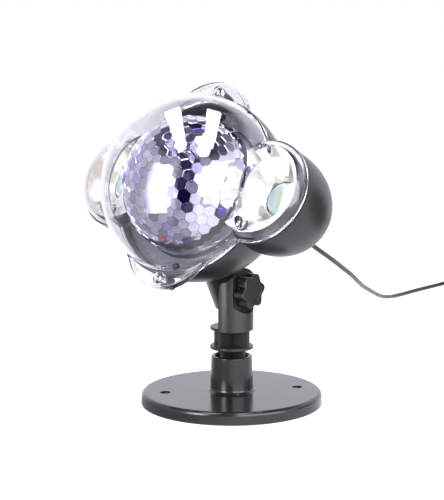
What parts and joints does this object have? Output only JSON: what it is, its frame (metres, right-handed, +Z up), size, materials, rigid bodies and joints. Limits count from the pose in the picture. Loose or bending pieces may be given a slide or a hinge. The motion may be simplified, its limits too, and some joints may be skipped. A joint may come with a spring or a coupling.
{
  "type": "light projector",
  "caption": "Light projector on a round stand: a globe head with a faceted mirror ball between side lamps, under a clear cover, on a tilting and swivelling post.",
  "frame": {"origin": "middle of the base disc's underside, on the surface it stands on", "axes": "+Z up; the head faces -Y and the clamp knob is at +X"},
  "size_m": [0.2175, 0.6539, 0.221],
  "materials": {
    "black_shell": "satin black moulding",
    "clear_cover": "clear polycarbonate",
    "rubber": "soft black",
    "mirror": "bright plated facets",
    "steel": "zinc plated",
    "brass": "plain",
    "aluminium": "cast",
    "nylon": "white moulding",
    "reflector": "white, polished",
    "lens": "clear",
    "phosphor": "yellow",
    "laminate": "green laminate",
    "cord": "satin black jacket"
  },
  "bodies": {
    "post": {"swivel_post": "black_shell", "power_cord": "cord", "cord_coil": "cord", "coil_tie": "black_shell", "cord_tail": "cord", "adapter_body": "black_shell", "adapter_blade_left": "steel", "adapter_blade_right": "steel", "adapter_relief": "rubber"},
    "base": {"base_disc": "black_shell"},
    "head": {"tilt_bolt": "steel", "friction_washer": "steel", "rear_housing": "black_shell", "front_cover": "clear_cover", "rim_gasket": "rubber", "cover_screw_left_lower": "steel", "cover_screw_left_upper": "steel", "cover_screw_right_lower": "steel", "cover_screw_right_upper": "steel", "cover_screw_top": "steel", "cover_screw_bottom": "steel", "gear_motor": "aluminium", "motor_screw_left": "steel", "motor_screw_right": "steel", "bezel_plate": "black_shell", "bezel_screw_lower": "steel", "bezel_screw_upper": "steel", "lamp_reflector_left": "reflector", "lamp_lens_left": "lens", "lamp_chip_left": "phosphor", "lamp_board_left": "nylon", "lamp_heat_sink_left": "aluminium", "lamp_lead_left": "rubber", "lamp_reflector_right": "reflector", "lamp_lens_right": "lens", "lamp_chip_right": "phosphor", "lamp_board_right": "nylon", "lamp_heat_sink_right": "aluminium", "lamp_lead_right": "rubber", "driver_board": "laminate", "driver_capacitor": "rubber", "motor_lead": "rubber", "cable_gland": "rubber"},
    "knob": {"clamp_knob": "black_shell", "knob_insert": "brass"},
    "ball": {"mirror_ball": "mirror", "ball_hub": "nylon", "motor_shaft": "steel"}
  },
  "joints": [
    {"name": "base_swivel", "type": "hinge", "parent": "post", "child": "base", "pos_m": [0, 0, 0], "axis": [0, 0, 1], "continuous": true},
    {"name": "head_tilt", "type": "hinge", "parent": "post", "child": "head", "pos_m": [0, 0, 0.0798], "axis": [1, 0, 0], "range_deg": [-60, 60], "deforming": ["power_cord"]},
    {"name": "knob_turn", "type": "hinge", "parent": "head", "child": "knob", "pos_m": [0, 0, 0.0798], "axis": [1, 0, 0], "range_deg": [0, 540]},
    {"name": "ball_spin", "type": "hinge", "parent": "head", "child": "ball", "pos_m": [0, -0.04116, 0.15355], "axis": [0, -0.8894, 0.4571], "continuous": true}
  ]
}
